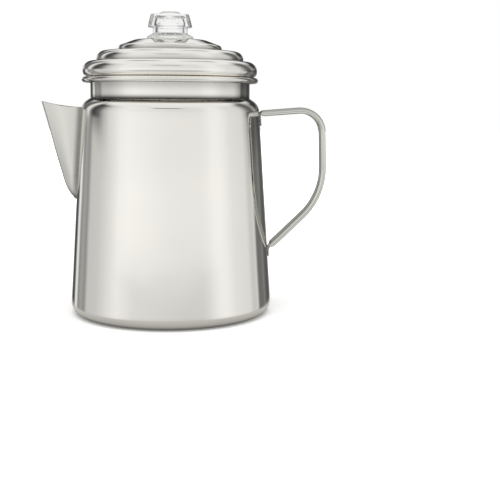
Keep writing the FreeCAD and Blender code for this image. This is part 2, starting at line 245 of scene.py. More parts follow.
def finish_piece(piece, body, material, node):
    piece.data.materials.clear()
    piece.data.materials.append(material)
    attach(piece, body)
    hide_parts(node)


# ---------------------------------------------------------------------------
# Shader graphs
# ---------------------------------------------------------------------------
class Graph:
    """Short ways to add nodes; every value may be a number, a colour or a socket."""

    def __init__(self, tree, output_kind):
        tree.nodes.clear()
        self.tree = tree
        self.surface = self.add(output_kind).inputs["Surface"]

    def put(self, socket, value):
        if isinstance(value, bpy.types.NodeSocket):
            self.tree.links.new(value, socket)
        else:
            socket.default_value = value

    def add(self, kind, inputs=None, **settings):
        node = self.tree.nodes.new(kind)
        for key, value in settings.items():
            setattr(node, key, value)
        for key, value in (inputs or {}).items():
            self.put(node.inputs[key], value)
        return node

    def calc(self, operation, a, b=0.0, c=None, clamp=False):
        inputs = {0: a, 1: b}
        if c is not None:
            inputs[2] = c
        node = self.add("ShaderNodeMath", inputs, operation=operation, use_clamp=clamp)
        return node.outputs[0]

    def product(self, factors):
        result = factors[0]
        for factor in factors[1:]:
            result = self.calc("MULTIPLY", result, factor)
        return result

    def ramp(self, value, stops):
        """stops: (position, colour) pairs in rising order."""
        node = self.add("ShaderNodeValToRGB", {0: value})
        elements = node.color_ramp.elements
        while len(elements) > 1:
            elements.remove(elements[-1])
        elements[0].position, elements[0].color = stops[0]
        for position, colour in stops[1:]:
            elements.new(position).color = colour
        return node.outputs[0]

    def noise(self, vector, scale, detail=3.0, roughness=0.5):
        return self.add("ShaderNodeTexNoise", {
            "Vector": vector, "Scale": scale, "Detail": detail, "Roughness": roughness,
        }).outputs["Fac"]

    def mix(self, factor, a, b, blend="MIX"):
        node = self.add("ShaderNodeMix", data_type="RGBA", blend_type=blend)
        for key, value in (("Factor", factor), ("A", a), ("B", b)):
            self.put(node.inputs[key], value)
        return node.outputs["Result"]

    def mix_shaders(self, factor, a, b):
        return self.add("ShaderNodeMixShader", {0: factor, 1: a, 2: b}).outputs[0]

    def ease(self, value, low, high, at_low=0.0, at_high=1.0):
        """Smooth step from at_low to at_high as value goes from low to high."""
        return self.add("ShaderNodeMapRange", {
            "Value": value, "From Min": low, "From Max": high,
            "To Min": at_low, "To Max": at_high,
        }, interpolation_type="SMOOTHSTEP").outputs[0]

    def bump(self, height, distance, normal=None):
        inputs = {"Strength": 1.0, "Distance": distance, "Height": height}
        if normal is not None:
            inputs["Normal"] = normal
        return self.add("ShaderNodeBump", inputs).outputs[0]

    def object_position(self):
        return self.add("ShaderNodeTexCoord").outputs["Object"]

    def split(self, vector):
        return self.add("ShaderNodeSeparateXYZ", {0: vector}).outputs

    def join(self, x, y, z):
        return self.add("ShaderNodeCombineXYZ", {0: x, 1: y, 2: z}).outputs[0]

    def scale(self, vector, factor):
        return self.add("ShaderNodeVectorMath", {0: vector, "Scale": factor},
                        operation="SCALE").outputs[0]

    def emission(self, colour, strength=1.0):
        return self.add("ShaderNodeEmission", {"Color": colour, "Strength": strength}).outputs[0]

    def principled(self, inputs):
        return self.add("ShaderNodeBsdfPrincipled", inputs).outputs[0]


def new_material(name):
    material = bpy.data.materials.new(name)
    material.use_nodes = True
    return material, Graph(material.node_tree, "ShaderNodeOutputMaterial")


# ---------------------------------------------------------------------------
# Materials
# ---------------------------------------------------------------------------
def painted_crease_shading(rows):
    """Painted shade in folds and joins of the sheet, where light is trapped; a negative strength
    paints a highlight instead.

    rows: (r, z, width, strength), lengths in millimetres.
    """
    def factors(g, position, radius, z):
        result = []
        for crease_r, crease_z, width, strength in rows:
            dz = g.calc("MULTIPLY", g.calc("SUBTRACT", z, crease_z * MM), 1.0 / (width * MM))
            dr = g.calc("MULTIPLY", g.calc("SUBTRACT", radius, crease_r * MM),
                        1.0 / (width * MM))
            squared = g.calc("ADD", g.calc("MULTIPLY", dz, dz), g.calc("MULTIPLY", dr, dr))
            bell = g.calc("POWER", math.e, g.calc("MULTIPLY", squared, -1.0))
            result.append(g.calc("MULTIPLY_ADD", bell, -strength, 1.0))
        return result
    return factors


def distance_off_wall(g, radius, z):
    wall = g.calc("MULTIPLY_ADD", z, WALL_SLOPE, WALL_FOOT_R * MM)
    return g.calc("SUBTRACT", radius, wall)


def spout_shades(g, position, radius, z):
    """Painted shade where the sheet meets the wall, and along the fold at the spout's -X edge.
    """
    y = g.split(position)[1]
    wall_join_shade = g.ease(distance_off_wall(g, radius, z), 0.0004, 0.0036, at_low=0.40)
    fold = g.ease(g.calc("ABSOLUTE", y), 0.0011, 0.0026, at_low=0.55)
    return [wall_join_shade, fold]


def handle_shades(g, position, radius, z):
    """Painted shade on faces that look up and at the feet, a painted highlight on faces that
    look down.
    """
    normal_z = g.split(g.add("ShaderNodeNewGeometry").outputs["Normal"])[2]
    upward = g.ease(normal_z, 0.10, 0.75, at_low=1.0, at_high=0.52)
    downward = g.ease(normal_z, -0.70, -0.15, at_low=1.28)
    foot = g.ease(distance_off_wall(g, radius, z), 0.0009, 0.0016, at_low=0.45)
    return [upward, downward, foot]


def steel(name, tint=(0.80, 0.778, 0.730), rough=0.035, rough_var=0.03, wave=0.25,
          lines=0.04, turned=True, shades=None):
    """Steel with slow waviness, fine polishing lines and faint smudges.

    rough_var: change of roughness between patches. wave: waviness in millimetres.
    lines: strength of the polishing lines, which run round the axis if turned.
    shades(graph, position, radius, z): gives factors on the colour.
    """
    material, g = new_material(name)
    position = g.object_position()
    x, y, z = g.split(position)
    radius = g.calc("SQRT", g.calc("ADD", g.calc("MULTIPLY", x, x), g.calc("MULTIPLY", y, y)))

    # two close tints in slow patches
    patch = g.noise(position, scale=22.0, detail=2.0)
    second_tint = tuple(c * k for c, k in zip(tint, (0.965, 0.972, 0.985)))
    colour = g.mix(g.calc("MULTIPLY_ADD", patch, 1.6, -0.3, clamp=True),
                   (*tint, 1), (*second_tint, 1))
    # painted shade and painted highlights, as factors on the colour
    if shades:
        colour = g.scale(colour, g.product(shades(g, position, radius, z)))

    # polishing lines: noise stretched along the polishing direction
    if turned:
        along = g.join(g.calc("MULTIPLY", g.calc("ARCTAN2", y, x), 0.9),
                       g.calc("MULTIPLY", z, 5200.0), g.calc("MULTIPLY", radius, 5200.0))
    else:
        parts = zip(g.split(position), (90.0, 3800.0, 90.0))
        along = g.join(*[g.calc("MULTIPLY", part, factor) for part, factor in parts])
    fine = g.noise(along, scale=1.0, detail=2.0, roughness=0.6)

    # roughness: patches, smudges and lines
    smear = g.noise(position, scale=55.0, detail=5.0, roughness=0.62)
    smudges = g.calc("MULTIPLY", g.calc("SUBTRACT", smear, 0.52, clamp=True), 0.21)
    patchy = g.calc("MULTIPLY_ADD", patch, rough_var, rough - rough_var * 0.5)
    roughness = g.calc("ADD", g.calc("ADD", patchy, smudges),
                       g.calc("MULTIPLY", g.calc("SUBTRACT", fine, 0.5), lines))

    waves = g.bump(g.noise(position, scale=26.0, detail=1.0), distance=wave * 0.001)
    g.put(g.surface, g.principled({
        "Metallic": 1.0,
        "Base Color": colour,
        "Roughness": g.calc("MAXIMUM", roughness, 0.02),
        "Normal": g.bump(fine, distance=lines * 0.00002, normal=waves),
    }))
    return material


def clear_plastic(name):
    material, g = new_material(name)
    position = g.object_position()
    z = g.split(position)[2]
    haze = g.noise(position, scale=160.0, detail=4.0, roughness=0.6)
    ripple = g.noise(position, scale=190.0, detail=1.0)
    plastic = g.principled({
        "Base Color": (0.985, 0.99, 0.985, 1),
        "Transmission Weight": 1.0,
        "IOR": 1.49,
        "Roughness": g.calc("MULTIPLY_ADD", haze, 0.05, 0.0),
        "Normal": g.bump(ripple, distance=0.00006),
    })
    # painted light: a glow that stands in for light carried round inside the plastic, strongest
    # in the flange and neck
    glow = g.emission((0.93, 0.93, 0.91, 1), strength=0.9)
    share = g.ease(z, 0.1562, 0.1590, at_low=0.15, at_high=0.025)
    g.put(g.surface, g.mix_shaders(share, plastic, glow))
    return material


def silicone(name):
    material, g = new_material(name)
    speckle = g.noise(g.object_position(), scale=900.0, detail=3.0)
    g.put(g.surface, g.principled({
        "Base Color": g.mix(speckle, (0.80, 0.80, 0.77, 1), (0.88, 0.88, 0.85, 1)),
        # painted light: a faint glow for the light carried in by the clear flange
        "Emission Color": (0.86, 0.86, 0.83, 1),
        "Emission Strength": 0.2,
        "IOR": 1.41,
        "Roughness": g.calc("MULTIPLY_ADD", speckle, 0.2, 0.3),
    }))
    return material


# painted shade at the neck's foot and under the rim, and a painted highlight on the rim's top
BODY_STEEL = steel("polished_steel_body", shades=painted_crease_shading([
    (44.3, 122.1, 1.6, 0.98), (44.8, 130.8, 3.6, 0.38), (47.9, 133.8, 0.9, -0.25)]))
# painted shade at the lid's two tier steps, and a painted highlight at the lid's lower edge
LID_STEEL = steel("polished_steel_lid", rough=0.03, wave=0.1, shades=painted_crease_shading([
    (30.1, 149.1, 1.35, 0.8), (42.3, 142.8, 1.35, 0.75), (47.8, 134.1, 0.9, -0.25)]))
SPOUT_STEEL = steel("polished_steel_spout", tint=(0.70, 0.69, 0.64), rough=0.10, wave=0.3,
                    turned=False, shades=spout_shades)
HANDLE_STEEL = steel("polished_steel_handle", tint=(0.62, 0.625, 0.575), rough=0.10, wave=0.1,
                     turned=False, shades=handle_shades)
SATIN = steel("satin_steel_inner", tint=(0.70, 0.69, 0.67), rough=0.27, rough_var=0.1,
              wave=0.05, lines=0.12)
TUBE = steel("satin_steel_tube", tint=(0.72, 0.715, 0.70), rough=0.2, rough_var=0.08,
             wave=0.03, lines=0.1)
CLEAR = clear_plastic("clear_knob")
SILICONE = silicone("translucent_silicone")


# ---------------------------------------------------------------------------
# Pot and base
# ---------------------------------------------------------------------------
CURL_LOW_Z = RIM_TOP - 2 * CURL_R + POT_SHEET
CURL_FILLET = CURL_R - POT_SHEET
POT_LINE = [  # (r, z, fillet), from the curled rim down the wall
    (46.9, CURL_LOW_Z),
    (RIM_R - POT_SHEET, CURL_LOW_Z, CURL_FILLET),
    (RIM_R - POT_SHEET, RIM_TOP - POT_SHEET, CURL_FILLET),
    (NECK_R, RIM_TOP - POT_SHEET, 0.4),
    (NECK_R, 122.25, 0.4),
    (WALL_TOP_R, WALL_TOP_Z, 8.0),
    (WALL_LOW_R, WALL_LOW_Z),
]
BASE_LINE = [  # (r, z, fillet), from the wall's foot to the axis, with a shallow groove
    (WALL_LOW_R, WALL_LOW_Z), (WALL_FOOT_R, 0.0, 6.2), (41.5, 0.0, 1.0), (40.3, 1.2, 1.0),
    (36.7, 1.2, 1.0), (35.5, 0.0, 1.0), (0.0, 0.0),
]

SPOUT_STATIONS = [  # (z, half width at the wall, x of the nose)
    (64.9, 0.8, -54.9), (66.2, 1.5, -55.95), (67.6, 2.3, -57.05), (69.2, 3.2, -58.2),
    (70.9, 4.1, -59.1), (74.3, 5.6, -60.5), (80.0, 7.6, -62.1), (90.0, 9.1, -64.85),
    (100.0, 10.4, -67.35), (110.0, 11.6, -69.85), (121.5, 12.95, -73.0),
]
HALF_WIDTH, NOSE_X = 1, 2        # columns of SPOUT_STATIONS

HOLE_R = 1.5
HOLE_ROWS, HOLE_TOP_Z, HOLE_ROW_PITCH = 7, 110.6, 4.3
HOLE_PITCH = 5.0                 # along Y; rows alternate four and three holes
HOLE_MARGIN = 1.6                # least distance from a hole to the spout's side
HOLE_SIDES = 20
DRILL_X = (-60.0, -42.0)


def at_station(z, column):
    """A column of SPOUT_STATIONS at height z, joined by a smooth monotone curve."""
    heights = [row[0] for row in SPOUT_STATIONS]
    values = [row[column] for row in SPOUT_STATIONS]
    last = len(heights) - 1
    if z <= heights[0]:
        return values[0]
    if z >= heights[-1]:
        return values[-1]
    i = max(j for j in range(last) if heights[j] <= z)

    def chord(j):
        return (values[j + 1] - values[j]) / (heights[j + 1] - heights[j])

    def slope(j):
        if j == 0:
            return chord(0)
        if j == last:
            return chord(last - 1)
        a, b = chord(j - 1), chord(j)
        return 0.0 if a * b <= 0 else 2 * a * b / (a + b)

    span = heights[i + 1] - heights[i]
    t = (z - heights[i]) / span
    return ((2 * t ** 3 - 3 * t ** 2 + 1) * values[i]
            + (t ** 3 - 2 * t ** 2 + t) * slope(i) * span
            + (-2 * t ** 3 + 3 * t ** 2) * values[i + 1]
            + (t ** 3 - t ** 2) * slope(i + 1) * span)


def make_drill():
    """Rods along X for the strainer holes in the wall behind the spout."""
    verts, faces = [], []
    for row in range(HOLE_ROWS):
        z = HOLE_TOP_Z - HOLE_ROW_PITCH * row
        holes = 3 if row % 2 else 4
        for column in range(holes):
            y = HOLE_PITCH * (column - (holes - 1) / 2)
            if abs(y) + HOLE_R >= at_station(z, HALF_WIDTH) - HOLE_MARGIN:
                continue
            first = len(verts)
            for x in DRILL_X:
                for k in range(HOLE_SIDES):
                    angle = 2 * math.pi * k / HOLE_SIDES
                    verts.append((x * MM, (y + HOLE_R * math.cos(angle)) * MM,
                                  (z + HOLE_R * math.sin(angle)) * MM))
            second = first + HOLE_SIDES
            faces.append(tuple(range(first, second)))
            faces.append(tuple(reversed(range(second, second + HOLE_SIDES))))
            for k in range(HOLE_SIDES):
                k2 = (k + 1) % HOLE_SIDES
                faces.append((first + k, first + k2, second + k2, second + k))
    return new_object("drill", verts, faces)


def make_pot():
    pot = lathe("pot_shell", sheet_outline(POT_LINE, POT_SHEET, arc_step=math.radians(6)))
    apply_boolean(pot, make_drill(), "DIFFERENCE")
    finish_piece(pot, "pot", BODY_STEEL, "pot_body")


def make_base():
    base = lathe("base_shell", sheet_outline(BASE_LINE, POT_SHEET, arc_step=math.radians(5)))
    finish_piece(base, "pot", BODY_STEEL, "base_pan")


# ---------------------------------------------------------------------------
# Spout: folded sheet, a round nose at -X and two side walls back to the pot
# ---------------------------------------------------------------------------
SPOUT_LOW_Z, SPOUT_INNER_LOW_Z = 64.9, 67.8
SPOUT_START_TOP_Z = 118.5        # first guess of the lip's height
NOSE_R = 2.4                     # largest nose radius
NOSE_SHARE = 0.4                 # share of each half's steps spent on the nose
WALL_OVERLAP = 0.3               # depth of the side walls in the pot's sheet
SIDE_CROWN = 1.0                 # how far the side walls bow outwards
LIP_X, LIP_Z = -49.6, 116.95     # the lip where it meets the pot
LIP_LENGTH, LIP_RISE, LIP_SAG = 22.2, 3.05, 0.8
SPOUT_AROUND, SPOUT_UP = 60, 70  # mesh steps


def spout_point(z, u, inset):
    """u runs from -1 (pot wall, -Y side) to 1 (pot wall, +Y side); 0 is the nose."""
    station_width = at_station(z, HALF_WIDTH)
    # the sheet slopes, so its inset grows a little in a level section
    nose_x = at_station(z, NOSE_X) + inset * 1.15
    half_width = max(station_width - inset * 1.12, 0.30)
    nose_r = max(min(NOSE_R, 0.45 * station_width) - inset, 0.2)
    inside_r = wall_radius(z) - WALL_OVERLAP
    wall_x = -math.sqrt(inside_r * inside_r - half_width * half_width)
    centre_x = nose_x + nose_r
    dx = wall_x - centre_x
    reach = math.hypot(dx, half_width)
    lean = math.atan2(half_width, dx) - math.asin(min(0.999, nose_r / reach))
    side = 1.0 if u >= 0 else -1.0
    along = abs(u)
    if along < NOSE_SHARE:
        angle = (along / NOSE_SHARE) * (math.pi / 2 - lean)
        return centre_x - nose_r * math.cos(angle), side * nose_r * math.sin(angle)
    f = (along - NOSE_SHARE) / (1 - NOSE_SHARE)
    start_x, start_y = centre_x - nose_r * math.sin(lean), nose_r * math.cos(lean)
    x, y = start_x + (wall_x - start_x) * f, start_y + (half_width - start_y) * f
    crown = SIDE_CROWN * math.sin(math.pi * f) * min(1.0, station_width / 10.0)
    return x - crown * math.sin(lean), side * (y + crown * math.cos(lean))


def spout_surface(inset, z_low):
    """Vertices of one skin, row by row from the bottom to the lip."""
    verts = []
    for j in range(SPOUT_UP + 1):
        t = j / SPOUT_UP
        for i in range(SPOUT_AROUND + 1):
            u = -1 + 2 * i / SPOUT_AROUND
            z = z_low + (SPOUT_START_TOP_Z - z_low) * t
            for _ in range(4):   # the lip's height depends on x, and x on the height
                x, y = spout_point(z, u, inset)
                out = LIP_X - x
                sag = LIP_SAG * math.sin(math.pi * min(1.0, max(0.0, out / LIP_LENGTH)))
                top = LIP_Z + out * (LIP_RISE / LIP_LENGTH) - sag
                z = z_low + (top - z_low) * t
            verts.append((x * MM, y * MM, z * MM))
    return verts


def make_spout():
    verts = spout_surface(0.0, SPOUT_LOW_Z) + spout_surface(POT_SHEET, SPOUT_INNER_LOW_Z)
    faces = []
    row = SPOUT_AROUND + 1
    inner = (SPOUT_UP + 1) * row           # first vertex of the inner skin
    for skin in (0, inner):
        for j in range(SPOUT_UP):
            for i in range(SPOUT_AROUND):
                a = skin + j * row + i
                quad = (a, a + 1, a + row + 1, a + row)
                faces.append(quad[::-1] if skin else quad)
    for i in range(SPOUT_AROUND):          # lip and bottom
        a = SPOUT_UP * row + i
        faces.append((a, a + 1, inner + a + 1, inner + a))
        faces.append((i + 1, i, inner + i, inner + i + 1))
    for j in range(SPOUT_UP):              # the two edges at the pot wall
        a, b = j * row, (j + 1) * row
        faces.append((b, a, inner + a, inner + b))
        a, b = a + SPOUT_AROUND, b + SPOUT_AROUND
        faces.append((a, b, inner + b, inner + a))
    spout = new_object("spout_shell", verts, faces, sharp_degrees=40.0)
    finish_piece(spout, "pot", SPOUT_STEEL, "spout")


# ---------------------------------------------------------------------------
# Handle strap: rolled edges, flattened into feet that hug the wall
# ---------------------------------------------------------------------------
UPPER_FOOT_Z, LOWER_FOOT_Z = 107.2, 32.0
FOOT_GAP = 0.44                  # from the wall to the strap's middle at the feet
STRAP_LINE = [  # (x, z, fillet) of the strap's middle, from the upper foot to the lower
    (wall_radius(UPPER_FOOT_Z) + FOOT_GAP, UPPER_FOOT_Z),
    (wall_radius(113.6) + 0.46, 114.05, 1.2),
    (86.2, 116.9, 12.6),
    (87.9, 67.4, 38.0),
    (wall_radius(36.6) + 0.6, 36.8, 2.0),
    (wall_radius(LOWER_FOOT_Z) + FOOT_GAP, LOWER_FOOT_Z),
]
STRAP_HALF_WIDTH = 5.0
FOOT_CORNER_R = 2.5
FOOT_HALF_THICK, WEB_EXTRA = 0.40, 0.30      # the web is this much thicker off the feet
EDGE_EXTRA = 1.0                             # rolled edge's radius beyond the web's half
FOOT_END, FOOT_BLEND = 5.9, 2.2              # where the feet turn into the full strap
HUG_END, HUG_BLEND = 5.0, 5.0                # where the strap stops following the wall
STRAP_SIDES = 56


def strap_section(edge_r, half_web, half_width):
    """A web with rolled edges, as (thickness, width) points."""
    edge_y = half_width - edge_r
    joint = math.pi - math.asin(min(1.0, half_web / edge_r))
    joint_y = edge_y + edge_r * math.cos(joint)
    section = []
    for k in range(STRAP_SIDES):
        quarter = k / STRAP_SIDES * 4.0
        side = int(quarter)
        f = quarter - side
        if side == 0:
            section.append((half_web, -joint_y + 2 * joint_y * f))
        elif side == 1:
            angle = joint - 2 * joint * f
            section.append((edge_r * math.sin(angle), edge_y + edge_r * math.cos(angle)))
        elif side == 2:
            section.append((-half_web, joint_y - 2 * joint_y * f))
        else:
            angle = -joint + 2 * joint * f
            section.append((edge_r * math.sin(angle), -edge_y - edge_r * math.cos(angle)))
    return section


def make_handle():
    path = [np.array(p) for p in line_points(STRAP_LINE, step=0.9, arc_step=math.radians(5))]
    travelled = [0.0]
    for a, b in zip(path, path[1:]):
        travelled.append(travelled[-1] + float(np.linalg.norm(b - a)))
    last = len(path) - 1
    verts, faces = [], []
    for i, (point, distance) in enumerate(zip(path, travelled)):
        ahead = path[min(last, i + 1)] - path[max(0, i - 1)]
        dx, dz = ahead / np.linalg.norm(ahead)
        from_end = min(distance, travelled[-1] - distance)
        full = smooth01((from_end - FOOT_END) / FOOT_BLEND)   # 0 at the feet, 1 between
        half_web = FOOT_HALF_THICK + WEB_EXTRA * full
        edge_r = half_web + 0.001 + EDGE_EXTRA * full
        half_width = STRAP_HALF_WIDTH
        if from_end < FOOT_CORNER_R:
            rounding = math.sqrt(max(0.0, 1 - (1 - from_end / FOOT_CORNER_R) ** 2))
            half_width -= FOOT_CORNER_R * (1 - rounding)
        hug = 1.0 - smooth01((from_end - HUG_END) / HUG_BLEND)
        r = wall_radius(point[1])
        for off, y in strap_section(edge_r, half_web, half_width):
            x = point[0] - dz * off - hug * (r - math.sqrt(r * r - y * y))
            verts.append((x * MM, y * MM, (point[1] + dx * off) * MM))
    for i in range(last):
        a, b = i * STRAP_SIDES, (i + 1) * STRAP_SIDES
        for k in range(STRAP_SIDES):
            k2 = (k + 1) % STRAP_SIDES
            faces.append((a + k, a + k2, b + k2, b + k))
    faces.append(tuple(range(STRAP_SIDES)))
    faces.append(tuple(last * STRAP_SIDES + k for k in reversed(range(STRAP_SIDES))))
    handle = new_object("handle_loop", verts, faces, sharp_degrees=50.0)
    finish_piece(handle, "pot", HANDLE_STEEL, "handle_strap")


# ---------------------------------------------------------------------------
# Lid: stepped dome with two notches at the edge of its centre hole, at +X and -X
# ---------------------------------------------------------------------------
LID_LINE = [  # (r, z, fillet), from the centre hole out and down to the neck
    (9.08, 154.5), (19.8, 154.5, 8.0), (28.95, 151.1, 2.0), (28.95, 149.2, 0.35),
    (41.15, 147.65, 4.5), (41.15, 142.9, 0.35), (48.9, 142.0, 5.2), (48.9, RIM_TOP, 3.0),
    (NECK_R, RIM_TOP),
]


def make_lid():
    outline = sheet_outline(LID_LINE, LID_SHEET, arc_step=math.radians(4), step=2.0)
    lid = lathe("lid_dome", outline)
    notches = sector_blocks("notch", first_angle=0.0, half_angle=math.radians(19), steps=10,
                            radii=(5.0, 11.4), heights=(153.0, 155.6))
    apply_boolean(lid, notches, "DIFFERENCE")
    finish_piece(lid, "lid", LID_STEEL, "lid_shell")


# ---------------------------------------------------------------------------
# Knob: clear, hollow, eight soft finger flats round the head, two lugs at +Y and -Y
# ---------------------------------------------------------------------------
KNOB_LINE = [  # (r, z, fillet), closed: up the outside, then down the hollow
    (7.2, 150.3), (9.0, 150.3, 0.3), (9.0, KNOB_SEAT_Z), (13.05, KNOB_SEAT_Z, 0.3),
    (13.05, 156.3, 0.7), (9.72, 157.9, 0.6), (9.72, 161.4, 0.35), (12.3, 161.5, 0.35),
    (12.5, 163.2, 1.2), (11.1, 168.4, 0.7), (6.3, 168.75, 1.2), (4.6, 169.95, 1.6),
    (0.0, 170.0), (0.0, 166.8), (6.2, 166.8, 2.4), (7.2, 163.0, 2.0),
]
HEAD_Z, HOLLOW_R = 161.45, 7.3   # the flats shape only what is above and outside these
FLAT_LOW_R, FLAT_LOW_Z = 12.45, 161.43       # distance of the flats from the axis, low
FLAT_HIGH_R, FLAT_HIGH_Z = 9.87, 171.0       # and high
FLAT_PITCH = math.pi / 4
FLAT_SOFTNESS = 0.18             # blends the flats into the turned shape


def knob_radius(r, z, angle):
    if z < HEAD_Z or r < HOLLOW_R:
        return r
    rise = (z - FLAT_LOW_Z) * (FLAT_LOW_R - FLAT_HIGH_R) / (FLAT_HIGH_Z - FLAT_LOW_Z)
    off_middle = (angle % FLAT_PITCH) - FLAT_PITCH / 2
    flat = (FLAT_LOW_R - rise) / math.cos(FLAT_PITCH / 2 - abs(off_middle))
    h = max(0.0, min(1.0, 0.5 + 0.5 * (flat - r) / FLAT_SOFTNESS))
    return (flat * (1 - h) + r * h) - FLAT_SOFTNESS * h * (1 - h)


def make_knob():
    outline = line_points(KNOB_LINE, closed=True, step=0.8, arc_step=math.radians(8))
    knob = lathe("knob_clear", outline, segments=192, shape=knob_radius)
    lugs = sector_blocks("lug", first_angle=math.pi / 2, half_angle=math.radians(15), steps=8,
                         radii=(8.7, 11.0), heights=(151.6, 153.85))
    apply_boolean(knob, lugs, "UNION")
    finish_piece(knob, "knob", CLEAR, "knob")


# ---------------------------------------------------------------------------
# CAD pieces that stay, with their own finishes
# ---------------------------------------------------------------------------
CAD_FINISHES = {
    "lid_skirt": SATIN, "knob_gasket": SILICONE, "pump_tube": TUBE, "pump_bell": SATIN,
    "valve_disc": SATIN, "valve_retaining_ring": SATIN, "basket_stop_collar": TUBE,
    "basket": SATIN, "basket_sleeve": TUBE, "spreader_plate": SATIN, "spreader_collar": TUBE,
}


def paint_cad_pieces():
    for node, material in CAD_FINISHES.items():
        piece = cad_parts[node]
        if not piece.material_slots:
            piece.data.materials.append(material)
        for slot in piece.material_slots:
            slot.material = material


# ---------------------------------------------------------------------------
# Floor (metres)
# ---------------------------------------------------------------------------
FLOOR_Z = -0.00006
FLOOR_RINGS = [0.05, 0.1, 0.2, 0.4, 0.8, 1.6, 3.2]
FLOOR_SIDES = 64
# painted reflection of the floor, darker near the pot for its shadow
PAINTED_FLOOR_REFLECTION = [  # (distance from the axis in decimetres, colour in reflections)
    (0.0, (0.10, 0.10, 0.10, 1)), (0.545, (0.16, 0.16, 0.155, 1)),
    (0.57, (0.46, 0.455, 0.44, 1)), (0.60, (0.56, 0.55, 0.53, 1)),
    (0.65, (0.62, 0.61, 0.59, 1)), (0.85, (0.68, 0.67, 0.65, 1)),
]


def floor_material():
    material, g = new_material("pale_floor")
    position = g.object_position()
    distance = g.add("ShaderNodeVectorMath", {0: position}, operation="LENGTH").outputs["Value"]
    tone = g.mix(g.noise(position, scale=6.0, detail=2.0),
                 (0.90, 0.90, 0.895, 1), (0.93, 0.93, 0.925, 1))
    diffuse = g.add("ShaderNodeBsdfDiffuse", {"Color": tone}).outputs[0]
    glow = g.emission((1, 1, 1, 1), g.ease(distance, 0.25, 0.9, at_low=0.10))
    lit = g.add("ShaderNodeAddShader", {0: diffuse, 1: glow}).outputs[0]
    # painted reflection: mirror-like surfaces see an emission, a floor painted dimmer near the
    # pot as its shadow, and the tent beyond it
    near = g.emission(g.ramp(g.calc("MULTIPLY", distance, 10.0), PAINTED_FLOOR_REFLECTION))
    beyond = g.add("ShaderNodeBsdfTransparent").outputs[0]
    reflected = g.mix_shaders(g.ease(distance, 0.064, 0.085), near, beyond)
    glossy = g.add("ShaderNodeLightPath").outputs["Is Glossy Ray"]
    g.put(g.surface, g.mix_shaders(glossy, lit, reflected))
    return material


def make_floor():
    verts, faces = [(0.0, 0.0, FLOOR_Z)], []
    for r in FLOOR_RINGS:
        for k in range(FLOOR_SIDES):
            angle = 2 * math.pi * k / FLOOR_SIDES
            verts.append((r * math.cos(angle), r * math.sin(angle), FLOOR_Z))
    for k in range(FLOOR_SIDES):
        faces.append((0, 1 + k, 1 + (k + 1) % FLOOR_SIDES))
    for j in range(len(FLOOR_RINGS) - 1):
        a, b = 1 + j * FLOOR_SIDES, 1 + (j + 1) * FLOOR_SIDES
        for k in range(FLOOR_SIDES):
            k2 = (k + 1) % FLOOR_SIDES
            faces.append((a + k, b + k, b + k2, a + k2))
    floor = new_object("studio_floor", verts, faces)
    floor.data.materials.append(floor_material())


# ---------------------------------------------------------------------------
# World: a soft white tent with darker openings at its sides
# ---------------------------------------------------------------------------
# (degrees round the pot, grey of 255): 0 is towards the camera, + to its right
LOW_BANDS = [
    (-180, 140), (-172, 156), (-165, 150), (-160, 112), (-156, 84), (-150, 62), (-146.5, 72),
    (-143.5, 118), (-139.5, 205), (-136, 228), (-133.5, 200), (-129.5, 136), (-127, 142),
    (-122, 157), (-116, 143), (-112.5, 148), (-109.5, 180), (-107, 192), (-90, 198),
    (-78, 213), (-70, 224), (-60, 240), (-48, 244), (-36, 242), (-18, 238), (0, 233),
    (20, 231), (40, 231), (48, 234), (56, 240), (64, 241), (72, 236), (84, 223), (96, 219),
    (105, 217), (108.5, 210), (112, 197), (116, 196), (121, 203), (123, 190), (125.5, 122),
    (128, 106), (133, 107), (138, 110), (141.5, 124), (145, 106), (148, 94), (153, 82),
    (159, 77), (165.5, 118), (180, 140),
]
HIGH_BANDS = [
    (-180, 140), (-165, 190), (-156, 200), (-150, 150), (-143, 105), (-137, 92), (-132, 130),
    (-127.5, 225), (-121, 212), (-117, 135), (-112.5, 84), (-108.5, 62), (-103, 84),
    (-97, 106), (-92, 150), (-87, 182), (-82, 198), (-78, 213), (-70, 224), (-60, 240),
    (-48, 244), (-36, 242), (-18, 238), (0, 233), (20, 231), (40, 231), (48, 234), (56, 240),
    (64, 241), (72, 236), (84, 223), (96, 219), (105, 214), (109, 202), (114, 178),
    (120, 132), (126, 102), (131, 93), (136, 112), (140, 148), (144, 165), (149, 125),
    (156, 98), (163, 92), (170, 130), (180, 140),
]
BAND_SPLIT = -78                 # a ramp holds 32 stops, so each table fills two
# (elevation in degrees, factor on the light)
FRONT_HEIGHTS = [
    (-90, 0.90), (-60, 0.86), (-42, 0.78), (-28, 0.58), (-14, 0.66), (-6, 0.78), (-4.4, 0.80),
    (-3.2, 0.92), (-1.5, 0.985), (1.5, 1.02), (5, 0.975), (16, 0.89), (48, 0.89), (60, 0.96),
    (90, 0.96),
]
SIDE_HEIGHTS = [
    (-90, 0.80), (-60, 0.84), (-30, 0.90), (-14, 0.97), (-6, 1.02), (0, 1.02), (5, 0.985),
    (16, 0.975), (48, 0.975), (60, 0.97), (90, 0.96),
]
# (elevation in degrees, grey of 255) behind the pot
GAP_HEIGHTS = [
    (-90, 150), (6, 150), (9, 80), (13, 55), (20, 55), (26, 200), (30, 232), (90, 240),
]
# (degrees round the pot, level) that the clear knob sees through itself
THROUGH_BANDS = [
    (-180, 0.95), (-150, 0.95), (-138, 0.32), (-118, 0.0), (-100, 0.03), (-84, 0.60),
    (-66, 0.92), (0, 0.95), (66, 0.92), (84, 0.60), (100, 0.03), (118, 0.0), (138, 0.32),
    (150, 0.95), (180, 0.95),
]


def level(value):
    return (value, value, value, 1)


def grey(value):
    """The light level that gives this sRGB grey after one reflection in the steel."""
    s = value / 255.0
    linear = s / 12.92 if s <= 0.04045 else ((s + 0.055) / 1.055) ** 2.4
    return level(linear / 0.785)


def degree_stops(rows, span, colour):
    """Ramp stops for degrees that run from -span / 2 to span / 2."""
    return [((degrees + span / 2) / span, colour(value)) for degrees, value in rows]


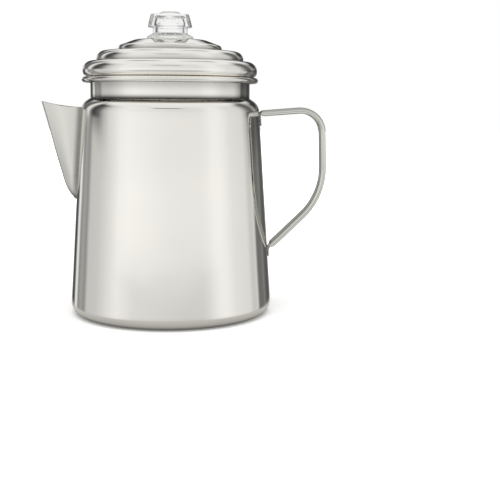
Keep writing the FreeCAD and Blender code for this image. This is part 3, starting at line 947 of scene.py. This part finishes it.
def tent_colour(g, azimuth, around, elevation):
    """around is the azimuth as 0 to 1."""
    def ease(value, low, high):
        return g.ease(value, math.radians(low), math.radians(high))

    def inverse(value):
        return g.calc("SUBTRACT", 1.0, value)

    def between(low, low_end, high, high_end):
        return g.calc("MULTIPLY", ease(elevation, low, low_end),
                      inverse(ease(elevation, high, high_end)))

    def darken(mask, colour, factor):
        return g.mix(mask, colour, g.mix(1.0, colour, factor, "MULTIPLY"))

    second = g.calc("GREATER_THAN", around, (BAND_SPLIT + 180.0) / 360.0)

    def bands(rows):
        parts = ([row for row in rows if row[0] <= BAND_SPLIT],
                 [row for row in rows if row[0] >= BAND_SPLIT])
        ramps = [g.ramp(around, degree_stops(part, 360.0, grey)) for part in parts]
        return g.mix(second, *ramps)

    upward = g.calc("MULTIPLY_ADD", elevation, 1.0 / math.pi, 0.5)
    off_camera = g.calc("ABSOLUTE", azimuth)

    tent = g.mix(between(1.0, 4.5, 34, 44), bands(LOW_BANDS), bands(HIGH_BANDS))
    tent = g.mix(ease(elevation, 34, 50), tent, grey(236))
    # a dark seam across the back of the roof
    seam = g.calc("MULTIPLY", between(54, 62, 78, 85), ease(off_camera, 114, 130))
    tent = darken(seam, tent, (0.42, 0.42, 0.41, 1))
    # the dark lens over the table
    lens = g.calc("MULTIPLY", between(34.5, 36.5, 38.5, 41), inverse(ease(off_camera, 12, 30)))
    tent = g.mix(lens, tent, grey(90))
    # behind the pot, a dark gap between the table's sweep and the white sheet above it
    gap = g.calc("MULTIPLY", ease(off_camera, 140, 156), ease(elevation, 6, 10))
    tent = g.mix(gap, tent, g.ramp(upward, degree_stops(GAP_HEIGHTS, 180.0, grey)))
    # a darker strip near the horizon, to the right and behind
    flank = g.product([ease(azimuth, 113, 121), ease(elevation, -2.0, 1.5),
                       inverse(ease(elevation, 4.0, 7.0))])
    tent = darken(flank, tent, level(0.58))

    front, side = [g.ramp(upward, degree_stops(rows, 180.0, level))
                   for rows in (FRONT_HEIGHTS, SIDE_HEIGHTS)]
    return g.mix(1.0, tent, g.mix(ease(off_camera, 35, 75), front, side), "MULTIPLY")


def make_world():
    world = bpy.data.worlds.new("tent")
    scene.world = world
    world.use_nodes = True
    g = Graph(world.node_tree, "ShaderNodeOutputWorld")
    ray = g.scale(g.add("ShaderNodeNewGeometry").outputs["Incoming"], -1.0)
    x, y, z = g.split(ray)
    elevation = g.calc("ARCSINE", z)
    # the level part of the ray, as the camera sees it, gives the azimuth
    seen = g.add("ShaderNodeVectorTransform", vector_type="VECTOR",
                 convert_from="WORLD", convert_to="CAMERA")
    g.put(seen.inputs[0], g.join(x, y, 0.0))
    across, _, depth = g.split(seen.outputs[0])
    azimuth = g.calc("ARCTAN2", across, g.calc("MULTIPLY", depth, -1.0))
    around = g.calc("MULTIPLY_ADD", azimuth, 1.0 / (2 * math.pi), 0.5)

    def background(colour):
        return g.add("ShaderNodeBackground", {"Color": colour}).outputs[0]

    studio = background(tent_colour(g, azimuth, around, elevation))
    through = background(g.ramp(around, degree_stops(THROUGH_BANDS, 360.0, level)))
    path = g.add("ShaderNodeLightPath").outputs
    indirect = g.mix_shaders(path["Is Transmission Ray"], studio, through)
    g.put(g.surface, g.mix_shaders(path["Is Camera Ray"], indirect, background(level(1))))


# ---------------------------------------------------------------------------
# Light, camera and view (metres)
# ---------------------------------------------------------------------------
LIGHT_PLACE, LIGHT_TARGET = Vector((0.0, -0.15, 1.1)), Vector((0, 0, 0.05))
LIGHT_SIZE, LIGHT_WATTS = 1.0, 7.0
CAMERA_PLACE = (0.020884, -0.543619, 0.122085)
CAMERA_RIGHT = (0.99898101, -0.04451861, 0.00741736)
CAMERA_UP = (-0.00028767, 0.15806303, 0.98742898)
CAMERA_BACK = (-0.04513138, -0.98642494, 0.15788916)
SENSOR_MM, LENS_MM = 36.0, 67.926456


def make_light():
    data = bpy.data.lights.new("key_top", "AREA")
    data.shape = "RECTANGLE"
    data.size = data.size_y = LIGHT_SIZE
    data.energy = LIGHT_WATTS
    light = bpy.data.objects.new("key_top", data)
    scene.collection.objects.link(light)
    light.location = LIGHT_PLACE
    light.rotation_mode = "QUATERNION"
    light.rotation_quaternion = (LIGHT_TARGET - LIGHT_PLACE).to_track_quat("-Z", "Y")
    light.visible_glossy = False
    light.visible_camera = False
    light.visible_transmission = False


def make_camera():
    data = bpy.data.cameras.new("camera")
    camera = bpy.data.objects.new("camera", data)
    scene.collection.objects.link(camera)
    data.sensor_width = SENSOR_MM
    data.lens = LENS_MM
    data.clip_start, data.clip_end = 0.01, 60.0
    pose = Matrix((CAMERA_RIGHT, CAMERA_UP, CAMERA_BACK)).transposed().to_4x4()
    pose.translation = CAMERA_PLACE
    camera.matrix_world = pose
    scene.camera = camera


def set_view():
    scene.view_settings.view_transform = "Standard"
    scene.view_settings.look = "None"
    scene.view_settings.exposure = 0.0
    scene.view_settings.gamma = 1.0


make_pot()
make_base()
make_spout()
make_handle()
make_lid()
make_knob()
paint_cad_pieces()
make_floor()
make_world()
make_light()
make_camera()
set_view()
